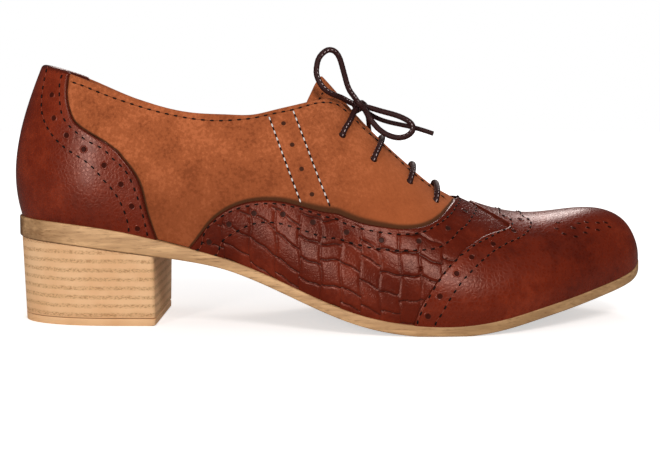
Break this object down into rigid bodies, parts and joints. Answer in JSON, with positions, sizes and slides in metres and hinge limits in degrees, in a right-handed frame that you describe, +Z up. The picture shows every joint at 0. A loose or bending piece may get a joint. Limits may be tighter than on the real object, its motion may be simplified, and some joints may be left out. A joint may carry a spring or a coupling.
{
  "type": "heeled oxford shoe",
  "caption": "Low heeled lace-up oxford with a hollow suede upper, polished wing cap and heel counter, an embossed vamp panel and a stacked leather heel.",
  "frame": {"origin": "centre of the base of the shoe's bounding box, on the floor under it", "axes": "+X to the toe, +Y to the inner side of the foot, +Z up"},
  "size_m": [0.2642, 0.0909, 0.1125],
  "materials": {
    "burgundy_leather": "polished grained leather, medium gloss",
    "tan_suede": "brushed suede, matt",
    "embossed_leather": "leather embossed with blocky scales, satin",
    "sole_leather": "edge-dressed sole leather, satin",
    "stacked_heel": "stack of thin leather lifts, sanded and dressed",
    "heel_rubber": "tan top piece, matt",
    "sock_leather": "smooth lining leather",
    "lace_cord": "round waxed braid"
  },
  "bodies": {
    "root": {"upper": "tan_suede", "tongue": "tan_suede", "heel_counter": "burgundy_leather", "wing_cap": "burgundy_leather", "vamp_panel": "embossed_leather", "outsole": "sole_leather", "insole": "sock_leather", "heel_block": "stacked_heel", "heel_top_piece": "heel_rubber", "lace_strand_outer": "lace_cord", "lace_strand_inner": "lace_cord", "lace_bar_1": "lace_cord", "lace_bar_2": "lace_cord", "lace_bar_3": "lace_cord", "lace_knot": "lace_cord", "lace_loop_up": "lace_cord", "lace_loop_forward": "lace_cord", "lace_end_forward": "lace_cord", "lace_end_far": "lace_cord"}
  },
  "joints": []
}
